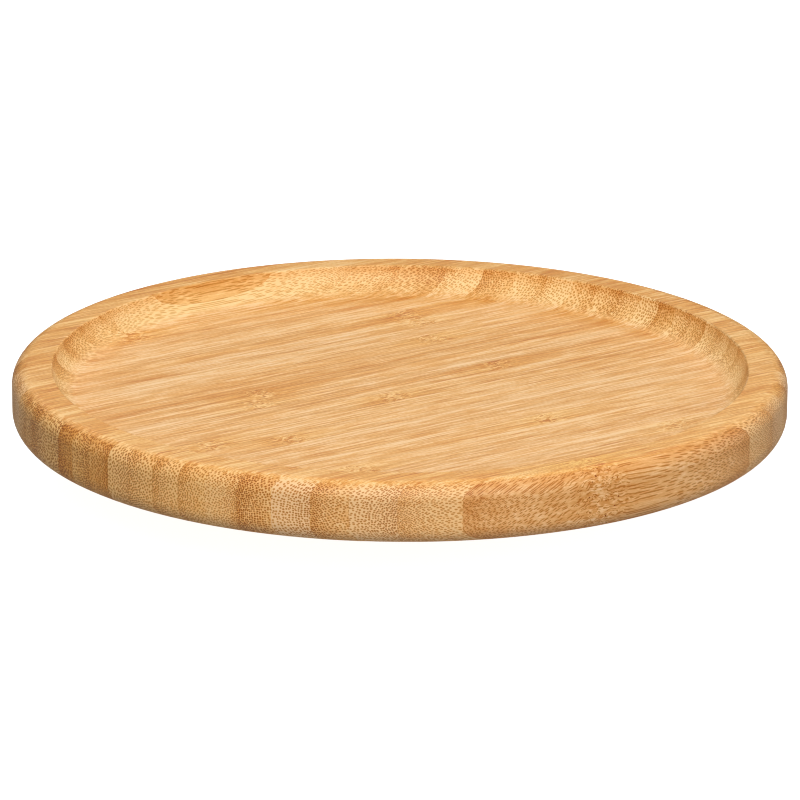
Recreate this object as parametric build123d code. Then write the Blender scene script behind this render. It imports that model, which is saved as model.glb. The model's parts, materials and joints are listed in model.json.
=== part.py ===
from build123d import *
import math
import os

# Lazy susan turntable: a round bamboo tray board that turns on a small round
# base through a square pressed-steel ball bearing.
# Frame: millimetres, +Z up, origin on the turning axis at the foot undersides.

# ---- driving dimensions -------------------------------------------------
TRAY_D = 250.0            # tray outside diameter
TRAY_T = 20.0             # tray panel thickness
TRAY_TOP_R = 5.5          # round on the upper outer edge
TRAY_BOT_R = 6.5          # round on the lower outer edge
RECESS_LIP_R = 112.0      # radius of the recess at the top face
RECESS_DEPTH = 9.0        # recess depth, and the radius of its coved wall
RECESS_LIP_ROUND = 0.6    # small round where the cove meets the top face

BASE_D = 110.0            # base disc diameter
BASE_T = 8.0              # base disc thickness
BASE_EDGE_R = 2.5         # rounds on the base disc's edges
ACCESS_R = 4.5            # screwdriver access hole radius

FOOT_H = 4.0              # rubber foot height
FOOT_TOP_R = 7.0          # foot radius against the base
FOOT_BOT_R = 6.3          # foot radius near the table
FOOT_ROUND = 0.9          # round on the foot's lower edge
FOOT_BORE_R = 4.0         # counterbore for the screw head
FOOT_BORE_H = 2.4         # counterbore depth
FOOT_HOLE_R = 1.75        # clearance hole for the foot screw
FOOT_PCD_R = 44.0         # radius the feet sit on
FOOT_ANGLES = (22.5, 112.5, 202.5, 292.5)

WASHER_R = 3.8
WASHER_HOLE_R = 1.65
WASHER_T = 0.6

PLATE_W = 76.0            # bearing plate side
PLATE_CORNER_R = 6.0
SHEET_T = 1.2             # steel sheet thickness
BEARING_H = 8.0           # bearing height, flange to flange
HOLE_XY = 30.0            # screw holes at (+-30, +-30)
PLATE_HOLE_R = 2.2
BALL_R = 2.38             # 3/16 in ball
BALL_COUNT = 16
BALL_PCD_R = 24.0         # radius of the ball track
GROOVE_R = 2.45           # groove radius on the ball's side
STEP_OUT_R = 30.0         # where the flange starts to rise
STEP_IN_R = 28.4          # where the raised ring starts
STEP_H = 1.4              # rise of the raised ring over the flange
NECK_IN_R = 13.6          # lower plate's rolled neck, inside
NECK_OUT_R = 14.8         # lower plate's rolled neck, outside
CURL_R = 17.2             # rolled rim radius over the upper plate
CURL_T = 1.0              # rolled rim thickness
UPPER_HOLE_R = 15.2       # upper plate's centre hole

CAGE_IN_R = 20.6
CAGE_OUT_R = 27.4
CAGE_T = 1.6
POCKET_R = 2.53

SHANK_R = 1.5             # screw core, the same as its pilot hole
HEAD_R = 3.4              # plate screw head
HEAD_H = 2.0
FOOT_HEAD_R = 2.8         # foot screw head
FOOT_HEAD_H = 1.4
TRAY_SCREW_DEPTH = 8.0    # how far the upper plate's screws reach into the tray
BASE_SCREW_DEPTH = 6.5    # how far the lower plate's screws reach into the base
FOOT_SCREW_DEPTH = 5.5    # how far the foot screws reach into the base

# ---- heights ------------------------------------------------------------
Z_BASE = FOOT_H                       # underside of the base disc
Z_BEAR = Z_BASE + BASE_T              # underside of the lower race plate
Z_TRAY = Z_BEAR + BEARING_H           # underside of the tray
Z_BALL = Z_BEAR + BEARING_H / 2       # ball centres

os.makedirs("parts", exist_ok=True)


def line(a, b):
    return Line((a[0], 0, a[1]), (b[0], 0, b[1]))


def arc(a, m, b):
    return ThreePointArc((a[0], 0, a[1]), (m[0], 0, m[1]), (b[0], 0, b[1]))


def round_arc(centre, radius, start, end):
    """Arc in the radius-height plane, angles in degrees."""
    def at(deg):
        t = math.radians(deg)
        return (centre[0] + radius * math.cos(t), centre[1] + radius * math.sin(t))
    return arc(at(start), at((start + end) / 2), at(end))


def turned(edges):
    """A solid of revolution about Z from edges in the radius-height plane."""
    return revolve(Face(Wire(edges)), Axis.Z, 360)


def ring(r_in, r_out, z0, z1):
    """A flat ring, or a disc if r_in is 0."""
    body = Pos(0, 0, z0) * Cylinder(r_out, z1 - z0, align=(Align.CENTER, Align.CENTER, Align.MIN))
    if r_in > 0:
        body -= Pos(0, 0, z0 - 1) * Cylinder(r_in, z1 - z0 + 2, align=(Align.CENTER, Align.CENTER, Align.MIN))
    return body


def drill(x, y, radius, z0, z1):
    return Pos(x, y, z0) * Cylinder(radius, z1 - z0, align=(Align.CENTER, Align.CENTER, Align.MIN))


def polar(radius, deg):
    t = math.radians(deg)
    return radius * math.cos(t), radius * math.sin(t)


def pan_screw(head_r, head_h, length, turn):
    """Pan-head screw with its seat at z=0, head above and shank below.
    The shank is plain at the core size, with a cone point."""
    crown = head_h * 0.62          # radius of the head's rounded shoulder
    point = SHANK_R * 1.3
    body = turned([
        line((0, head_h), (head_r - crown, head_h)),
        round_arc((head_r - crown, head_h - crown), crown, 90, 0),
        line((head_r, head_h - crown), (head_r, 0)),
        line((head_r, 0), (SHANK_R, 0)),
        line((SHANK_R, 0), (SHANK_R, -(length - point))),
        line((SHANK_R, -(length - point)), (0.25, -length)),
        line((0.25, -length), (0, -length)),
        line((0, -length), (0, head_h)),
    ])
    depth = head_h * 0.62
    wing = head_r * 0.56
    for extra in (0, 90):
        slot = Pos(0, 0, head_h) * Rot(0, 0, turn + extra) * loft([
            Rectangle(2 * wing, 0.95),
            Pos(0, 0, -depth) * Rectangle(1.1 * wing, 0.55),
        ])
        body -= slot
    return body


def export(shape, name):
    shape.label = name
    export_step(shape, os.path.join("parts", name + ".step"))


def group(solids):
    return Compound(children=[s.solid() if hasattr(s, "solid") else s for s in solids])


PLATE_SPOTS = [(sx * HOLE_XY, sy * HOLE_XY) for sx, sy in ((1, 1), (-1, 1), (-1, -1), (1, -1))]
FOOT_SPOTS = [polar(FOOT_PCD_R, a) for a in FOOT_ANGLES]

# ---- tray board ---------------------------------------------------------
R = TRAY_D / 2
z0, z1 = Z_TRAY, Z_TRAY + TRAY_T
floor_r = RECESS_LIP_R - RECESS_DEPTH          # flat floor radius
zf = z1 - RECESS_DEPTH                         # floor height
cove_c = (floor_r, z1)                         # centre of the coved wall
# The lip round touches the top face and the cove's circle from inside the wood:
# its centre is LIP below the face and COVE + LIP from the cove's centre.
lip = RECESS_LIP_ROUND
reach = math.sqrt((RECESS_DEPTH + lip) ** 2 - lip ** 2)
lip_c = (floor_r + reach, z1 - lip)
join_deg = math.degrees(math.atan2(-lip, reach))   # seen from the cove's centre
tray = turned([
    line((0, z0), (R - TRAY_BOT_R, z0)),
    round_arc((R - TRAY_BOT_R, z0 + TRAY_BOT_R), TRAY_BOT_R, -90, 0),
    line((R, z0 + TRAY_BOT_R), (R, z1 - TRAY_TOP_R)),
    round_arc((R - TRAY_TOP_R, z1 - TRAY_TOP_R), TRAY_TOP_R, 0, 90),
    line((R - TRAY_TOP_R, z1), (lip_c[0], z1)),
    round_arc(lip_c, lip, 90, 180 + join_deg),
    round_arc(cove_c, RECESS_DEPTH, join_deg, -90),
    line((floor_r, zf), (0, zf)),
    line((0, zf), (0, z0)),
])
for x, y in PLATE_SPOTS:
    tray -= drill(x, y, SHANK_R, z0 - 1, z0 + TRAY_SCREW_DEPTH)
export(tray, "tray_board")

# ---- bearing plates -----------------------------------------------------
# Both are drawn as the lower plate, flange at the bottom. The upper one is
# the same pressing turned over, with a plain centre hole in place of the neck.
zc = Z_BALL


def flange():
    plate = Pos(0, 0, Z_BEAR) * extrude(RectangleRounded(PLATE_W, PLATE_W, PLATE_CORNER_R), SHEET_T)
    plate -= drill(0, 0, STEP_OUT_R + 1.0, Z_BEAR - 1, Z_BEAR + SHEET_T + 1)
    for x, y in PLATE_SPOTS:
        plate -= drill(x, y, PLATE_HOLE_R, Z_BEAR - 1, Z_BEAR + SHEET_T + 1)
    return plate


def pressing(inner_r):
    """Raised ring with its ball groove, from inner_r out to the flange."""
    a, b = Z_BEAR, Z_BEAR + SHEET_T              # flange faces
    c, d = a + STEP_H, b + STEP_H                # raised ring faces
    outer = GROOVE_R + SHEET_T
    half_in = math.sqrt(GROOVE_R ** 2 - (zc - d) ** 2)
    half_out = math.sqrt(outer ** 2 - (zc - c) ** 2)
    shift = 0.45                                 # keeps the sloped wall near full thickness
    in_deg = math.degrees(math.acos(half_in / GROOVE_R))
    out_deg = math.degrees(math.acos(half_out / outer))
    flat_end = STEP_OUT_R + 1.0
    return turned([
        line((inner_r, c), (BALL_PCD_R - half_out, c)),
        round_arc((BALL_PCD_R, zc), outer, -180 + out_deg, -out_deg),
        line((BALL_PCD_R + half_out, c), (STEP_IN_R - shift, c)),
        line((STEP_IN_R - shift, c), (STEP_OUT_R - shift, a)),
        line((STEP_OUT_R - shift, a), (flat_end, a)),
        line((flat_end, a), (flat_end, b)),
        line((flat_end, b), (STEP_OUT_R + 0.05, b)),
        line((STEP_OUT_R + 0.05, b), (STEP_IN_R + 0.05, d)),
        line((STEP_IN_R + 0.05, d), (BALL_PCD_R + half_in, d)),
        round_arc((BALL_PCD_R, zc), GROOVE_R, -in_deg, -180 + in_deg),
        line((BALL_PCD_R - half_in, d), (inner_r, d)),
        line((inner_r, d), (inner_r, c)),
    ])


# neck: rises through the upper plate's centre hole and is rolled out over it
ring_lo = Z_BEAR + STEP_H
neck_top = Z_TRAY - 0.3
bend = 0.9
neck = turned([
    line((NECK_IN_R + bend + SHEET_T, ring_lo), (NECK_OUT_R + 2.0, ring_lo)),
    line((NECK_OUT_R + 2.0, ring_lo), (NECK_OUT_R + 2.0, ring_lo + SHEET_T)),
    line((NECK_OUT_R + 2.0, ring_lo + SHEET_T), (NECK_OUT_R + bend, ring_lo + SHEET_T)),
    round_arc((NECK_OUT_R + bend, ring_lo + SHEET_T + bend), bend, -90, -180),
    line((NECK_OUT_R, ring_lo + SHEET_T + bend), (NECK_OUT_R, neck_top - CURL_T)),
    line((NECK_OUT_R, neck_top - CURL_T), (CURL_R - CURL_T / 2, neck_top - CURL_T)),
    round_arc((CURL_R - CURL_T / 2, neck_top - CURL_T / 2), CURL_T / 2, -90, 90),
    line((CURL_R - CURL_T / 2, neck_top), (NECK_IN_R + 1.0, neck_top)),
    round_arc((NECK_IN_R + 1.0, neck_top - 1.0), 1.0, 90, 180),
    line((NECK_IN_R, neck_top - 1.0), (NECK_IN_R, ring_lo + SHEET_T + bend)),
    round_arc((NECK_IN_R + bend + SHEET_T, ring_lo + SHEET_T + bend), bend + SHEET_T, 180, 270),
])
lower_plate = flange() + pressing(NECK_OUT_R + 1.5) + neck
export(lower_plate, "lower_race_plate")

upper_plate = flange() + pressing(UPPER_HOLE_R)
upper_plate = mirror(upper_plate, Plane.XY.offset(zc))
export(upper_plate, "upper_race_plate")

# ---- balls and cage -----------------------------------------------------
cage = ring(CAGE_IN_R, CAGE_OUT_R, zc - CAGE_T / 2, zc + CAGE_T / 2)
cage = fillet([e for e in cage.edges() if e.geom_type == GeomType.CIRCLE], 0.35)
for i in range(BALL_COUNT):
    x, y = polar(BALL_PCD_R, i * 360 / BALL_COUNT)
    cage -= drill(x, y, POCKET_R, zc - CAGE_T, zc + CAGE_T)
    export(Pos(x, y, zc) * Sphere(BALL_R), "bearing_ball_%02d" % (i + 1))
export(cage, "ball_cage")

# ---- plate screws -------------------------------------------------------
upper_screws, lower_screws = [], []
for i, (x, y) in enumerate(PLATE_SPOTS):
    up = pan_screw(HEAD_R, HEAD_H, SHEET_T + TRAY_SCREW_DEPTH - 0.5, 17 + 31 * i)
    upper_screws.append(Pos(x, y, Z_TRAY - SHEET_T) * Rot(180, 0, 0) * up)
    down = pan_screw(HEAD_R, HEAD_H, SHEET_T + BASE_SCREW_DEPTH - 0.5, 8 + 23 * i)
    lower_screws.append(Pos(x, y, Z_BEAR + SHEET_T) * down)
export(group(upper_screws), "upper_plate_screws")
export(group(lower_screws), "lower_plate_screws")

# ---- base board ---------------------------------------------------------
rb, e = BASE_D / 2, BASE_EDGE_R
base = turned([
    line((0, Z_BASE), (rb - e, Z_BASE)),
    round_arc((rb - e, Z_BASE + e), e, -90, 0),
    line((rb, Z_BASE + e), (rb, Z_BEAR - e)),
    round_arc((rb - e, Z_BEAR - e), e, 0, 90),
    line((rb - e, Z_BEAR), (0, Z_BEAR)),
    line((0, Z_BEAR), (0, Z_BASE)),
])
for x, y in PLATE_SPOTS:
    base -= drill(x, y, SHANK_R, Z_BEAR - BASE_SCREW_DEPTH, Z_BEAR + 1)
for x, y in FOOT_SPOTS:
    base -= drill(x, y, SHANK_R, Z_BASE - 1, Z_BASE + FOOT_SCREW_DEPTH + 0.5)
# The access hole lies at the same radius as the plate screws, on an axis, where
# the lower plate's straight side leaves it clear: with the tray turned 45
# degrees each upper screw in turn comes over it.
access_r = math.hypot(HOLE_XY, HOLE_XY)
base -= drill(0, -access_r, ACCESS_R, Z_BASE - 1, Z_BEAR + 1)
export(base, "base_board")

# ---- feet, washers and foot screws --------------------------------------
foot = turned([
    line((FOOT_HOLE_R, FOOT_H), (FOOT_TOP_R, FOOT_H)),
    line((FOOT_TOP_R, FOOT_H), (FOOT_TOP_R, FOOT_H - 0.8)),
    line((FOOT_TOP_R, FOOT_H - 0.8), (FOOT_BOT_R, FOOT_ROUND)),
    round_arc((FOOT_BOT_R - FOOT_ROUND, FOOT_ROUND), FOOT_ROUND, 0, -90),
    line((FOOT_BOT_R - FOOT_ROUND, 0), (FOOT_BORE_R, 0)),
    line((FOOT_BORE_R, 0), (FOOT_BORE_R, FOOT_BORE_H)),
    line((FOOT_BORE_R, FOOT_BORE_H), (FOOT_HOLE_R, FOOT_BORE_H)),
    line((FOOT_HOLE_R, FOOT_BORE_H), (FOOT_HOLE_R, FOOT_H)),
])
washer = ring(WASHER_HOLE_R, WASHER_R, FOOT_BORE_H - WASHER_T, FOOT_BORE_H)
washers, foot_screws = [], []
for i, (x, y) in enumerate(FOOT_SPOTS):
    export(Pos(x, y, 0) * foot, "rubber_foot_%d" % (i + 1))
    washers.append(Pos(x, y, 0) * washer)
    length = FOOT_H - (FOOT_BORE_H - WASHER_T) + FOOT_SCREW_DEPTH
    screw = pan_screw(FOOT_HEAD_R, FOOT_HEAD_H, length, 12 + 37 * i)
    foot_screws.append(Pos(x, y, FOOT_BORE_H - WASHER_T) * Rot(180, 0, 0) * screw)
export(group(washers), "foot_washers")
export(group(foot_screws), "foot_screws")
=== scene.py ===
"""Lazy susan turntable: materials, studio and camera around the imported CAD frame."""

import json
import math

import bpy
from mathutils import Matrix, Vector

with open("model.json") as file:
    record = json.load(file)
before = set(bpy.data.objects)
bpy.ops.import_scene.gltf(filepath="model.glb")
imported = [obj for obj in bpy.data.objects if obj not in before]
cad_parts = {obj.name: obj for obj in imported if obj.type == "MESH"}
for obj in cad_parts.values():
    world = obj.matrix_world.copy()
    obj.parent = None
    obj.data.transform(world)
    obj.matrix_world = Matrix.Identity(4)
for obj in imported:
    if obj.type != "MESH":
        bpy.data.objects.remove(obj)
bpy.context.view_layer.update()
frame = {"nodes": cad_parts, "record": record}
nodes = frame["nodes"]

MM = 0.001


# ---------------------------------------------------------------- node maths
class Sig:
    """A socket that can be used in arithmetic; each operation adds a Math node."""

    def __init__(self, net, socket):
        self.net, self.socket = net, socket

    def __add__(self, o):
        return self.net.math("ADD", self, o)

    __radd__ = __add__

    def __sub__(self, o):
        return self.net.math("SUBTRACT", self, o)

    def __rsub__(self, o):
        return self.net.math("SUBTRACT", o, self)

    def __mul__(self, o):
        return self.net.math("MULTIPLY", self, o)

    __rmul__ = __mul__

    def __truediv__(self, o):
        return self.net.math("DIVIDE", self, o)

    def __neg__(self):
        return self.net.math("MULTIPLY", self, -1.0)


class Net:
    """Builds one material's node tree."""

    def __init__(self, name):
        self.mat = bpy.data.materials.new(name)
        self.mat.use_nodes = True
        self.tree = self.mat.node_tree
        self.tree.nodes.clear()
        out = self.tree.nodes.new("ShaderNodeOutputMaterial")
        self.bsdf = self.tree.nodes.new("ShaderNodeBsdfPrincipled")
        self.tree.links.new(self.bsdf.outputs[0], out.inputs[0])

    def node(self, kind, **props):
        n = self.tree.nodes.new(kind)
        for k, v in props.items():
            setattr(n, k, v)
        return n

    def put(self, socket, value):
        if isinstance(value, Sig):
            self.tree.links.new(value.socket, socket)
        elif isinstance(value, bpy.types.NodeSocket):
            self.tree.links.new(value, socket)
        elif value is not None:
            socket.default_value = value

    def math(self, op, a, b=None, c=None, clamp=False):
        n = self.node("ShaderNodeMath", operation=op, use_clamp=clamp)
        for s, x in zip(n.inputs, (a, b, c)):
            self.put(s, x)
        return Sig(self, n.outputs[0])

    def clamp01(self, a):
        return self.math("ADD", a, 0.0, clamp=True)

    def smooth(self, a, lo, hi, out_lo=0.0, out_hi=1.0):
        n = self.node("ShaderNodeMapRange", interpolation_type="SMOOTHSTEP")
        for s, x in zip(n.inputs[:5], (a, lo, hi, out_lo, out_hi)):
            self.put(s, x)
        return Sig(self, n.outputs[0])

    def linear(self, a, lo, hi, out_lo=0.0, out_hi=1.0):
        n = self.node("ShaderNodeMapRange")
        for s, x in zip(n.inputs[:5], (a, lo, hi, out_lo, out_hi)):
            self.put(s, x)
        return Sig(self, n.outputs[0])

    def vec(self, x, y, z=0.0):
        n = self.node("ShaderNodeCombineXYZ")
        for s, v in zip(n.inputs, (x, y, z)):
            self.put(s, v)
        return Sig(self, n.outputs[0])

    def split(self, v):
        n = self.node("ShaderNodeSeparateXYZ")
        self.put(n.inputs[0], v)
        return [Sig(self, o) for o in n.outputs]

    def noise(self, vector, scale=1.0, detail=2.0, rough=0.5, dims="3D", distortion=0.0):
        n = self.node("ShaderNodeTexNoise", noise_dimensions=dims)
        self.put(n.inputs["Vector"], vector)
        n.inputs["Scale"].default_value = scale
        n.inputs["Detail"].default_value = detail
        n.inputs["Roughness"].default_value = rough
        n.inputs["Distortion"].default_value = distortion
        return Sig(self, n.outputs[0])

    def noise_colour(self, vector, scale=1.0, detail=1.0, rough=0.5):
        n = self.node("ShaderNodeTexNoise", noise_dimensions="3D")
        self.put(n.inputs["Vector"], vector)
        n.inputs["Scale"].default_value = scale
        n.inputs["Detail"].default_value = detail
        n.inputs["Roughness"].default_value = rough
        return self.split(Sig(self, n.outputs["Color"]))

    def voronoi(self, vector, scale=1.0, dims="2D", feature="F1", randomness=1.0):
        n = self.node("ShaderNodeTexVoronoi", voronoi_dimensions=dims, feature=feature)
        self.put(n.inputs["Vector"], vector)
        n.inputs["Scale"].default_value = scale
        n.inputs["Randomness"].default_value = randomness
        return n

    def hash1(self, w):
        n = self.node("ShaderNodeTexWhiteNoise", noise_dimensions="1D")
        self.put(n.inputs["W"], w)
        return Sig(self, n.outputs["Value"])

    def ramp(self, fac, stops, interpolation="CONSTANT"):
        """stops: [(position, (r, g, b))]; returns the three channels."""
        n = self.node("ShaderNodeValToRGB")
        cr = n.color_ramp
        cr.interpolation = interpolation
        while len(cr.elements) > 1:
            cr.elements.remove(cr.elements[-1])
        cr.elements[0].position = stops[0][0]
        cr.elements[0].color = (*stops[0][1], 1)
        for pos, col in stops[1:]:
            e = cr.elements.new(pos)
            e.color = (*col, 1)
        self.put(n.inputs[0], fac)
        s = self.node("ShaderNodeSeparateColor")
        self.put(s.inputs[0], n.outputs[0])
        return [Sig(self, o) for o in s.outputs]

    def curve(self, fac, points):
        """Piecewise straight curve through (x, y) points, both 0 to 1."""
        n = self.node("ShaderNodeFloatCurve")
        c = n.mapping.curves[0]
        while len(c.points) > 2:
            c.points.remove(c.points[1])
        c.points[0].location = points[0]
        c.points[1].location = points[-1]
        for p in points[1:-1]:
            c.points.new(*p)
        for p in c.points:
            p.handle_type = "VECTOR"
        n.mapping.update()
        n.inputs[0].default_value = 1.0
        self.put(n.inputs[1], fac)
        return Sig(self, n.outputs[0])

    def mix(self, fac, a, b):
        n = self.node("ShaderNodeMix", data_type="FLOAT")
        self.put(n.inputs[0], fac)
        self.put(n.inputs[2], a)
        self.put(n.inputs[3], b)
        return Sig(self, n.outputs[0])

    def rgb(self, r, g, b):
        n = self.node("ShaderNodeCombineColor")
        for s, v in zip(n.inputs, (r, g, b)):
            self.put(s, v)
        return Sig(self, n.outputs[0])

    def bump(self, height, distance, strength=1.0, normal=None):
        n = self.node("ShaderNodeBump")
        n.inputs["Strength"].default_value = strength
        n.inputs["Distance"].default_value = distance
        self.put(n.inputs["Height"], height)
        if normal is not None:
            self.put(n.inputs["Normal"], normal)
        return Sig(self, n.outputs[0])

    def finish(self, colour, roughness, normal=None, **fixed):
        self.put(self.bsdf.inputs["Base Color"], colour)
        self.put(self.bsdf.inputs["Roughness"], roughness)
        if normal is not None:
            self.put(self.bsdf.inputs["Normal"], normal)
        for k, v in fixed.items():
            self.bsdf.inputs[k.replace("_", " ")].default_value = v
        return self.mat


# ------------------------------------------------------------------- bamboo
BAMBOO = (0.880, 0.500, 0.182)


def bamboo(name, grain_deg, strips, tone_scale=1.0, seed=0.0, top_shade_and_cove=False):
    """Vertical-strip bamboo panel as a solid texture, so face grain, end grain and
    every cut between them agree.

    strips, from the -v side to the +v side: (lower edge mm, tone, hue, density,
    dense side +1/-1, node place along the grain mm, end-grain tone, bundle fineness,
    end-grain amber). v runs across the strips."""
    net = Net(name)
    a = math.radians(grain_deg)
    co = net.node("ShaderNodeTexCoord")
    px, py, pz = net.split(Sig(net, co.outputs["Object"]))
    nx, ny, nz = net.split(Sig(net, co.outputs["Normal"]))
    # millimetres along the grain (u), across the strips (v) and up (z)
    u = (px * math.cos(a) + py * math.sin(a)) * 1000.0
    v = (py * math.cos(a) - px * math.sin(a)) * 1000.0
    z = pz * 1000.0
    n_u = net.math("ABSOLUTE", nx * math.cos(a) + ny * math.sin(a))
    n_v = net.math("ABSOLUTE", ny * math.cos(a) - nx * math.sin(a))

    # strip number and place within the strip
    edges = [s[0] for s in strips]
    lo, hi = edges[0], edges[-1] + 9.0
    count = len(strips)
    pts = [((e - lo) / (hi - lo), i / count) for i, e in enumerate(edges)] + [(1.0, 1.0)]
    s = net.curve((v - lo) / (hi - lo), pts) * float(count)
    idx = net.math("FLOOR", net.math("MINIMUM", net.math("MAXIMUM", s, 0.0), count - 0.001))
    t = s - idx
    pick = (idx + 0.5) / float(count)
    tone, hue, dens = net.ramp(pick, [(i / count, (0.5 + 0.5 * p[1], 0.5 + 0.5 * p[2], p[3])) for i, p in enumerate(strips)])
    flip, place, end_tone = net.ramp(pick, [(i / count, (0.0 if p[4] < 0 else 1.0, 0.5 + p[5] / 500.0, 0.5 + p[6])) for i, p in enumerate(strips)])
    tone = tone * 2.0 - 1.0
    hue = hue * 2.0 - 1.0
    place = (place - 0.5) * 500.0
    end_tone = end_tone - 0.5
    widths = [b[0] - a[0] for a, b in zip(strips, strips[1:])] + [9.0]
    width, scale, end_hue = net.ramp(pick, [(i / count, (w / 20.0, strips[i][7] / 2.0, strips[i][8])) for i, w in enumerate(widths)])
    width = width * 20.0
    d = net.mix(flip, 1.0 - t, t)                      # 1 at the strip's dense (outer culm) side
    rnd = net.hash1(idx + (seed + 3.7))
    rnd2 = net.hash1(idx * 1.31 + (seed + 91.2))

    # node zone: a short band across the strip where the fibres tangle
    wob = net.noise(net.vec(u * 0.12, v * 0.35, z * 0.35), 1.0, 2.0)
    du = u - place + (wob - 0.5) * 6.0 + (t - 0.5) * (rnd - 0.5) * 6.0
    knot = net.math("EXPONENT", -((du * du) / (28.0 + n_v * 60.0)))
    halo = net.math("EXPONENT", -((du * du) / 240.0))

    # fibres wander a little along their length, and curl in the node zone
    gx, gy, gz = net.noise_colour(net.vec(u * 0.022, v * 0.09, z * 0.09 + idx * 3.3), 1.0, 2.0)
    fx, fy, fz = net.noise_colour(net.vec(u * 0.25, v * 0.5, z * 0.5 + idx * 7.1), 1.0, 1.0)
    cx, cy, cz = net.noise_colour(net.vec(u * 0.30, v * 0.36, z * 0.36 + idx * 5.0), 1.0, 1.5)
    off_v = (gx - 0.5) * 1.5 + (fx - 0.5) * 0.16 + (cx - 0.5) * knot * 5.0
    off_z = (gy - 0.5) * 2.2 + (fy - 0.5) * 0.16 + (cy - 0.5) * knot * 5.0

    # vascular bundles: cells shrink towards the dense side; the map is conformal,
    # so the cells stay round while their size changes
    k = 0.045
    grow = net.mix(rnd2, 0.92, 1.12) * scale * 2.0
    tm = (d * width + off_v) * grow
    # in the outermost strip the fibres bow away before the node
    bow = net.math("LESS_THAN", idx, 0.5) * net.math("MAXIMUM", place - 3.0 - u, 0.0) * 0.5
    zm = (z + off_z + bow + rnd * 160.0) * grow
    e = net.math("EXPONENT", tm * k)
    bx = e * net.math("COSINE", zm * k)
    by = e * net.math("SINE", zm * k)
    seat = net.vec(bx + rnd2 * 37.0, by + rnd * 53.0)
    vor = net.voronoi(seat, 24.0, "2D", "F1", 0.60)
    dist = Sig(net, vor.outputs["Distance"])
    wall = Sig(net, net.voronoi(seat, 24.0, "2D", "DISTANCE_TO_EDGE", 0.60).outputs["Distance"])
    cell = net.split(Sig(net, vor.outputs["Color"]))
    edge_r = net.mix(d, 0.285, 0.36) * net.mix(dens, 0.88, 1.10) * net.mix(cell[0], 0.86, 1.10)
    dot = net.smooth(dist, edge_r + 0.10, edge_r - 0.05) * net.smooth(wall, 0.02, 0.13)

    # how much of the bundles shows: strong on end grain, less on the strips' side
    # faces, as faint long fibre lines on the flat top
    end = net.smooth(n_u, 0.12, 0.62)
    side = net.smooth(n_v, 0.14, 0.62)
    face = 1.0 - net.math("MAXIMUM", end, side)
    strength = net.mix(d, 0.80, 1.0) * net.mix(dens, 0.76, 1.0) * net.mix(cell[1], 0.85, 1.0)
    show = net.math("MAXIMUM", end * 1.0, side * 0.92)
    # in the routed cove fewer bundles show, the strips' end-grain tones count for less, and its cut grain is a little
    # darker, paler and less amber
    radius = net.math("SQRT", px * px + py * py) * 1000.0
    cove = net.smooth(radius, 114.0, 111.5) if top_shade_and_cove else radius * 0.0
    show = net.math("MAXIMUM", show * (1.0 - cove * 0.25), 0.34 + knot * 0.06)
    bundle = net.clamp01(dot * show * strength)

    # long streaks in the face grain, from broad to fine
    st_v = v + off_v * 0.5
    broad = net.noise(net.vec(u * 0.0045, st_v * 0.16, z * 0.16 + idx * 2.0), 1.0, 1.0, 0.5)
    mid = net.noise(net.vec(u * 0.011, st_v * 0.42, z * 0.42 + idx * 4.0), 1.0, 1.0, 0.5)
    fine = net.noise(net.vec(u * 0.055, st_v * 1.05, z * 1.05 + idx * 9.0), 1.0, 1.0, 0.55)
    hair = net.noise(net.vec(u * 0.13, st_v * 2.6, z * 2.6), 1.0, 2.0, 0.6)
    grit = net.noise(net.vec(u * 0.9, v * 1.7, z * 1.7), 1.0, 2.0, 0.6)
    # thin dark lines, here and there
    line = net.noise(net.vec(u * 0.009, st_v * 0.75, z * 0.75 + idx * 6.0), 1.0, 0.0, 0.5)
    line = net.smooth(net.math("ABSOLUTE", line - 0.5), 0.022, 0.0) * net.smooth(broad, 0.62, 0.40)

    # the node zone's curls, light and dark, with a few black pits
    curl = net.noise(net.vec(u * 0.34 + (cx - 0.5) * 3.0, v * 1.25 + (cy - 0.5) * 3.2, z * 1.25 + (cz - 0.5) * 3.2), 1.0, 1.0, 0.5)
    curl = (net.smooth(curl, 0.36, 0.64) - 0.5) * knot
    pit = net.voronoi(net.vec(u * 0.42, v * 0.42, z * 0.42), 1.0, "3D", "F1", 1.0)
    pit = net.smooth(Sig(net, pit.outputs["Distance"]), 0.17, 0.09) * net.smooth(knot, 0.45, 0.8) * net.math("MAXIMUM", end, side)

    # glue lines between strips
    gap = net.math("MINIMUM", t, 1.0 - t) * width
    glue = net.smooth(gap, 0.17, 0.03) * net.mix(net.hash1(net.math("ROUND", s) + seed), 0.1, 1.0)

    cut = 1.0 - face                                      # end or side grain
    # painted shade: the rim's top band, from 36 mm up, is darkened where the lamps fall strongly, most on its rounded
    # edge; its face grain there also gets more amber and stronger streaks
    top_band_shade = net.smooth(z, 36.0, 39.4) if top_shade_and_cove else net.math("MULTIPLY", z, 0.0)
    streaks = (broad - 0.5) * 0.55 + (mid - 0.5) * 0.55 + (fine - 0.5) * 1.15 + (hair - 0.5) * 1.35 + (grit - 0.5) * 0.60
    # the last term is painted shade on the rim's top band
    shade = (tone * (0.235 * tone_scale) + end_tone * cut * (1.0 - cove * 0.45)
             + streaks * net.mix(cut, 1.15 + top_band_shade * 0.30, 0.60) + curl * net.mix(cut, 1.05, 0.60)
             - (d - 0.5) * 0.05 - cut * net.smooth(d, 0.55, 1.0) * 0.17 - halo * (0.05 + rnd2 * 0.10) - line * face * 0.22 - glue * 0.12
             + cut * (0.42 - cove * 0.14) - top_band_shade * (0.08 + cut * 0.10))
    deep = (1.0 - bundle * 0.90) * (1.0 - pit * 0.9)
    tint = net.math("EXPONENT", shade)
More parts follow.
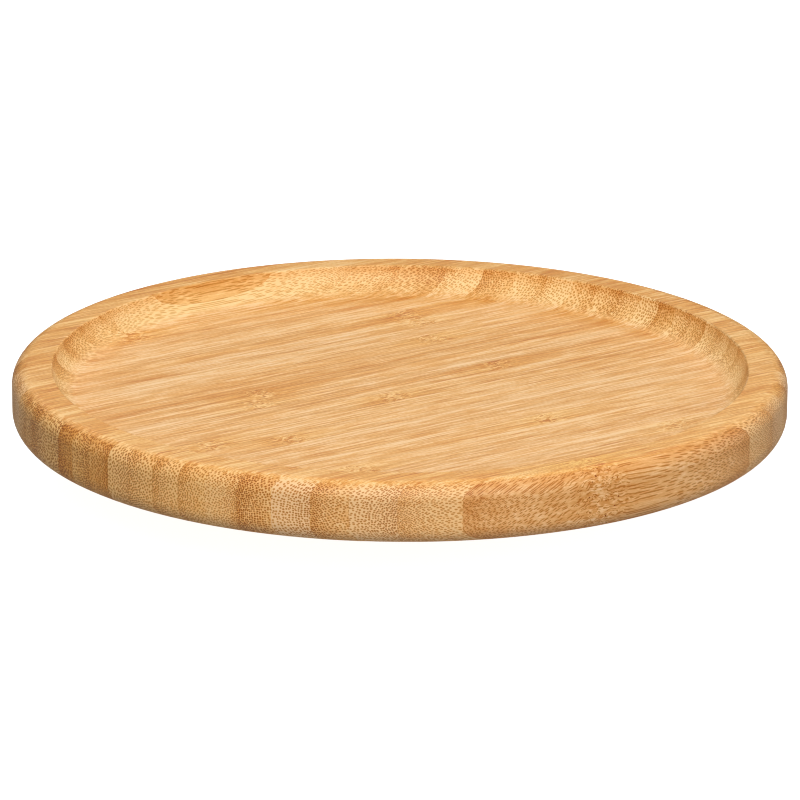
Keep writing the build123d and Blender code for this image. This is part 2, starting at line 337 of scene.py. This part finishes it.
    # one colour law for the whole board: darker is redder and more saturated
    tint = net.math("SMOOTH_MIN", net.math("MAXIMUM", tint, 0.05), 1.27, 0.18)
    # the top band's extra amber goes with its painted shade
    amber = hue * 0.10 * face + top_band_shade * 0.20 * face + cut * ((end_hue - 0.2) * (1.0 - cove) + cove * 0.08) + halo * face * 0.22
    r = net.math("MINIMUM", net.math("POWER", tint, 0.38 + cut * 0.08) * net.math("POWER", deep, 0.54) * BAMBOO[0] * (1.0 - cut * 0.01), 0.95)
    g = net.math("MINIMUM", tint * deep * BAMBOO[1] * (1.0 - amber * 0.15) * (1.0 - cut * (0.035 - cove * 0.10)), 0.85)
    b = net.math("MINIMUM", net.math("POWER", tint, 2.50 - cut * 0.50) * net.math("POWER", deep, 1.95) * BAMBOO[2] * (1.0 + cut * (0.08 + cove * 0.10)) * (1.0 - amber), 0.7)
    rough = net.clamp01(0.46 + (fine - 0.5) * 0.16 + cut * 0.06 - bundle * 0.05)
    height = (hair - 0.5) * 0.14 + (fine - 0.5) * 0.10 - bundle * 0.5 + curl * 0.2 - pit * 1.5 - glue * 0.6
    normal = net.bump(height, 0.00006, 0.55)
    return net.finish(net.rgb(r, g, b), rough, normal,
                      IOR=1.47, Specular_IOR_Level=0.38, Coat_Weight=0.06, Coat_Roughness=0.30, Coat_IOR=1.45)


# strips of the tray, from its -v edge to its +v edge
TRAY_STRIPS = [
    # edge,   tone,  hue, density, dense side, node place, end-grain tone, bundle fineness, amber
    (-126.0, -0.20, 0.25, 0.05, 1, -12.0, -0.41, 0.90, 0.20),
    (-112.0, 0.15, 0.10, 0.60, 1, 250.0, -0.20, 1.25, 0.33),
    (-101.8, -0.15, 0.40, 0.75, -1, 240.0, 0.14, 1.25, 0.27),
    (-92.5, -0.10, 0.20, 0.70, 1, 250.0, -0.28, 1.00, 0.34),
    (-84.0, 0.42, -0.20, 0.55, -1, 51.0, 0.14, 1.00, 0.22),
    (-74.5, -0.25, -0.40, 1.00, 1, 240.0, -0.30, 1.00, 0.38),
    (-65.0, 0.15, 0.10, 0.55, -1, -58.0, -0.17, 1.00, 0.39),
    (-55.5, -0.05, 0.20, 0.60, 1, 22.0, -0.21, 1.00, 0.44),
    (-46.5, 0.30, 0.00, 0.70, 1, 250.0, -0.23, 1.00, 0.43),
    (-37.2, 0.35, -0.10, 0.80, 1, 240.0, -0.16, 0.86, 0.43),
    (-27.5, 0.15, 0.00, 0.80, -1, -59.0, -0.03, 0.86, 0.42),
    (-18.7, 0.00, 0.10, 0.70, -1, -83.0, -0.48, 0.86, 0.46),
    (-9.4, -0.10, 0.00, 0.95, -1, -6.0, -0.26, 0.86, 0.50),
    (-0.3, -0.35, 0.05, 0.85, 1, 42.0, -0.62, 0.86, 0.50),
    (8.5, 0.30, -0.10, 0.95, -1, -46.0, 0.06, 0.86, 0.48),
    (17.2, -0.28, 0.10, 1.00, 1, -40.0, -0.12, 0.86, 0.45),
    (26.3, -0.38, 0.15, 1.00, -1, 245.0, -0.20, 0.86, 0.45),
    (35.8, -0.42, 0.00, 0.70, -1, 41.0, -0.12, 0.86, 0.40),
    (44.5, 0.42, 0.00, 0.50, 1, 240.0, 0.00, 1.00, 0.25),
    (53.5, -0.15, -0.45, 0.60, -1, 49.0, -0.05, 1.00, 0.25),
    (63.3, -0.50, 0.25, 0.90, 1, 50.0, -0.30, 1.00, 0.25),
    (72.3, 0.45, 0.10, 0.50, 1, 245.0, -0.15, 1.00, 0.25),
    (81.5, -0.42, -0.05, 0.90, -1, 240.0, -0.25, 1.00, 0.25),
    (91.5, -0.08, 0.20, 0.45, -1, -40.0, -0.26, 1.15, 0.35),
    (100.0, 0.20, 0.00, 0.20, -1, 240.0, -0.12, 1.25, 0.35),
    (109.5, -1.10, 0.40, 0.30, 1, 245.0, -0.27, 1.30, 0.35),
    (118.7, -0.60, 0.30, 0.20, 1, 240.0, -0.22, 1.30, 0.35),
]
BASE_STRIPS = [
    (-60.0, 0.10, 0.10, 0.6, 1, 240.0, -0.08, 1.00, 0.25),
    (-51.0, -0.20, 0.20, 0.8, -1, 31.0, -0.08, 1.00, 0.25),
    (-42.2, 0.30, -0.10, 0.5, 1, 240.0, -0.08, 1.00, 0.25),
    (-33.0, -0.05, 0.10, 0.7, 1, -22.0, -0.08, 1.00, 0.25),
    (-23.5, 0.25, 0.00, 0.6, -1, 240.0, -0.08, 1.00, 0.25),
    (-14.2, -0.30, 0.30, 0.9, 1, 240.0, -0.08, 1.00, 0.25),
    (-5.0, 0.10, -0.20, 0.6, -1, 8.0, -0.08, 1.00, 0.25),
    (4.4, -0.10, 0.10, 0.8, -1, 240.0, -0.08, 1.00, 0.25),
    (13.2, 0.35, 0.00, 0.5, 1, 240.0, -0.08, 1.00, 0.25),
    (22.6, -0.25, 0.20, 0.9, -1, -38.0, -0.08, 1.00, 0.25),
    (31.7, 0.05, -0.10, 0.6, 1, 240.0, -0.08, 1.00, 0.25),
    (41.3, -0.15, 0.20, 0.7, 1, 16.0, -0.08, 1.00, 0.25),
    (50.2, 0.20, 0.00, 0.6, -1, 240.0, -0.08, 1.00, 0.25),
]


# -------------------------------------------------------- metal, nylon, rubber
def zinc(name, colour, rough, grain=0.0, cells=260.0):
    """Zinc-plated steel: faint crystals in the plating, fine rolling marks, dull spots."""
    net = Net(name)
    co = net.node("ShaderNodeTexCoord")
    p = Sig(net, co.outputs["Object"])
    x, y, z = net.split(p)
    vor = net.voronoi(p, cells, "3D", "F1", 1.0)
    crystal = net.split(Sig(net, vor.outputs["Color"]))[0]
    cloud = net.noise(p, 70.0, 3.0, 0.6)
    fine = net.noise(net.vec(x * (0.15 if grain else 1.0), y, z), 5200.0, 2.0, 0.6)
    scuff = net.smooth(net.noise(net.vec(x * 60.0, y * 900.0, z * 60.0), 1.0, 2.0, 0.7), 0.60, 0.74)
    tint = 1.0 + (crystal - 0.5) * 0.10 + (cloud - 0.5) * 0.16 - scuff * 0.02
    r, g, b = (tint * c for c in colour)
    roughness = net.clamp01(rough + (crystal - 0.5) * 0.10 + (cloud - 0.5) * 0.18 + scuff * 0.04)
    normal = net.bump(fine * 0.6 + crystal * 0.1 + scuff * 0.05, 0.00002, 0.5)
    return net.finish(net.rgb(r, g, b), roughness, normal, Metallic=1.0)


def ball_steel(name):
    """Polished bearing steel with a thin film of grease."""
    net = Net(name)
    co = net.node("ShaderNodeTexCoord")
    p = Sig(net, co.outputs["Object"])
    smear = net.noise(p, 420.0, 3.0, 0.6)
    tint = 1.0 + (smear - 0.5) * 0.10
    r, g, b = (tint * c for c in (0.66, 0.67, 0.69))
    rough = net.clamp01(0.07 + net.smooth(smear, 0.45, 0.75) * 0.16)
    return net.finish(net.rgb(r, g, b), rough, None, Metallic=1.0)


def nylon(name):
    """Natural moulded nylon, slightly translucent, with a fine sparked texture."""
    net = Net(name)
    co = net.node("ShaderNodeTexCoord")
    p = Sig(net, co.outputs["Object"])
    cloud = net.noise(p, 90.0, 3.0, 0.55)
    grit = net.noise(p, 4200.0, 2.0, 0.6)
    tint = 1.0 + (cloud - 0.5) * 0.10 + (grit - 0.5) * 0.05
    r, g, b = (tint * c for c in (0.74, 0.71, 0.62))
    rough = net.clamp01(0.44 + (cloud - 0.5) * 0.15)
    normal = net.bump(grit, 0.00002, 0.6)
    return net.finish(net.rgb(r, g, b), rough, normal, Subsurface_Weight=0.12, Subsurface_Scale=0.0015)


def rubber(name):
    """Black moulded rubber, worn grey where it meets the table, with dust."""
    net = Net(name)
    co = net.node("ShaderNodeTexCoord")
    p = Sig(net, co.outputs["Object"])
    _, _, z = net.split(p)
    cloud = net.noise(p, 160.0, 3.0, 0.6)
    grit = net.noise(p, 3600.0, 2.0, 0.65)
    worn = net.smooth(z * 1000.0 + (cloud - 0.5) * 0.6, 0.55, 0.0)
    dust = net.smooth(cloud, 0.52, 0.75) * 0.5
    v = 0.018 + grit * 0.010 + dust * 0.018 + worn * 0.035
    rough = net.clamp01(0.72 + dust * 0.15 + worn * 0.1)
    normal = net.bump(grit + cloud * 0.4, 0.00004, 0.7)
    return net.finish(net.rgb(v, v * 1.0, v * 1.03), rough, normal, Specular_IOR_Level=0.4)


MATERIALS = {
    "bamboo_tray": bamboo("tray_bamboo", 35.2, TRAY_STRIPS, top_shade_and_cove=True),
    "bamboo_base": bamboo("base_bamboo", 8.0, BASE_STRIPS, seed=40.0),
    "zinc_steel": zinc("zinc_plate", (0.62, 0.63, 0.65), 0.34, grain=1.0),
    "screw_steel": zinc("screw_zinc", (0.56, 0.57, 0.59), 0.28, cells=900.0),
    "ball_steel": ball_steel("bearing_steel"),
    "nylon_cage": nylon("cage_nylon"),
    "foot_rubber": rubber("foot_rubber"),
}
slot_of = {s["node"]: s["material_slot"] for s in frame["record"]["subparts"]}
for name, obj in nodes.items():
    mat = MATERIALS[slot_of[name]]
    if not obj.material_slots:
        obj.data.materials.append(mat)
    for slot in obj.material_slots:
        slot.material = mat

# -------------------------------------------------------------------- studio
AIM = Vector((0.0, 0.0, 0.030))


def plane(name, size, z):
    h = size / 2
    mesh = bpy.data.meshes.new(name)
    mesh.from_pydata([(-h, -h, z), (h, -h, z), (h, h, z), (-h, h, z)], [], [(0, 1, 2, 3)])
    obj = bpy.data.objects.new(name, mesh)
    bpy.context.scene.collection.objects.link(obj)
    return obj


def floor_material(name, albedo, glow):
    """Pale matt floor, seen from above only, so that the underside can be looked at."""
    mat = bpy.data.materials.new(name)
    mat.use_nodes = True
    t = mat.node_tree
    t.nodes.clear()
    out = t.nodes.new("ShaderNodeOutputMaterial")
    bsdf = t.nodes.new("ShaderNodeBsdfPrincipled")
    bsdf.inputs["Base Color"].default_value = (albedo, albedo, albedo, 1)
    bsdf.inputs["Roughness"].default_value = 0.9
    bsdf.inputs["Specular IOR Level"].default_value = 0.0
    bsdf.inputs["Emission Color"].default_value = (1, 1, 1, 1)
    bsdf.inputs["Emission Strength"].default_value = glow
    clear = t.nodes.new("ShaderNodeBsdfTransparent")
    geo = t.nodes.new("ShaderNodeNewGeometry")
    mix = t.nodes.new("ShaderNodeMixShader")
    t.links.new(geo.outputs["Backfacing"], mix.inputs[0])
    t.links.new(bsdf.outputs[0], mix.inputs[1])
    t.links.new(clear.outputs[0], mix.inputs[2])
    t.links.new(mix.outputs[0], out.inputs[0])
    return mat


floor = plane("floor", 60.0, 0.0)
floor.data.materials.append(floor_material("floor_pale", 0.50, 0.92))
floor.visible_diffuse = False
floor.visible_glossy = False
floor.visible_shadow = False
bounce = plane("floor_bounce", 12.0, -0.0005)
bounce.data.materials.append(floor_material("floor_bounce", 0.14, 0.0))
bounce.visible_camera = False
bounce.visible_glossy = False
bounce.visible_shadow = False
sheen = plane("floor_sheen", 12.0, -0.001)
sheen.data.materials.append(floor_material("floor_sheen", 0.25, 0.12))
sheen.visible_camera = False
sheen.visible_diffuse = False
sheen.visible_shadow = False


def area(name, where, at, size, power, colour=(1, 1, 1)):
    data = bpy.data.lights.new(name, "AREA")
    data.shape = "RECTANGLE"
    data.size, data.size_y = size
    data.energy = power
    data.color = colour
    obj = bpy.data.objects.new(name, data)
    bpy.context.scene.collection.objects.link(obj)
    obj.location = where
    obj.rotation_euler = (Vector(at) - Vector(where)).to_track_quat("-Z", "Y").to_euler()
    obj.visible_camera = False
    return obj


area("top_softbox", (0, 0.1, 1.3), (0, 0, 0.03), (1.0, 1.0), 5.4, (1.0, 0.99, 0.97))
area("back_softbox", (0, 1.1, 0.9), (0, 0, 0.03), (1.6, 0.8), 5.6)
area("front_softbox", (0, -1.1, 1.1), (0, 0, 0.03), (1.2, 0.8), 14.2, (1.0, 0.99, 0.97))
area("front_fill", (0, -1.7, 0.55), (0, 0, 0.03), (0.8, 0.5), 2.4)
area("front_right_fill", (0.7, -1.5, 0.6), (0, 0, 0.03), (0.6, 0.5), 6.6)
area("left_softbox", (-1.2, 0.1, 0.6), (-0.05, 0, 0.03), (0.5, 0.6), 1.5)
area("right_softbox", (1.3, 0.45, 0.45), (0.05, 0, 0.03), (0.6, 0.8), 2.6)
# light that a white table gives back, which also shows the underside
area("table_glow", (0, -0.1, -0.9), (0, 0, 0.03), (1.6, 1.6), 9.0)

world = bpy.data.worlds.new("studio")
bpy.context.scene.world = world
world.use_nodes = True
bg = world.node_tree.nodes["Background"]
bg.inputs[0].default_value = (0.97, 0.98, 1.0, 1)
bg.inputs[1].default_value = 0.06

# -------------------------------------------------------------------- camera
cam_data = bpy.data.cameras.new("camera")
cam = bpy.data.objects.new("camera", cam_data)
bpy.context.scene.collection.objects.link(cam)
cam_data.sensor_width = 36.0
cam_data.lens = 278.69
cam_data.shift_x = 0.00025
cam_data.shift_y = -0.0091
cam_data.clip_start, cam_data.clip_end = 0.05, 40.0
elev, dist = math.radians(17.523), 2.0
cam.location = (0.0, -dist * math.cos(elev), AIM.z + dist * math.sin(elev))
look = (AIM - cam.location).to_track_quat("-Z", "Y").to_matrix().to_4x4()
roll = Matrix.Rotation(math.radians(0.304), 4, "Z")
cam.matrix_world = Matrix.Translation(cam.location) @ look @ roll
bpy.context.scene.camera = cam
bpy.context.scene.view_settings.view_transform = "Standard"
bpy.context.scene.view_settings.look = "None"
bpy.context.scene.cycles.filter_width = 1.15
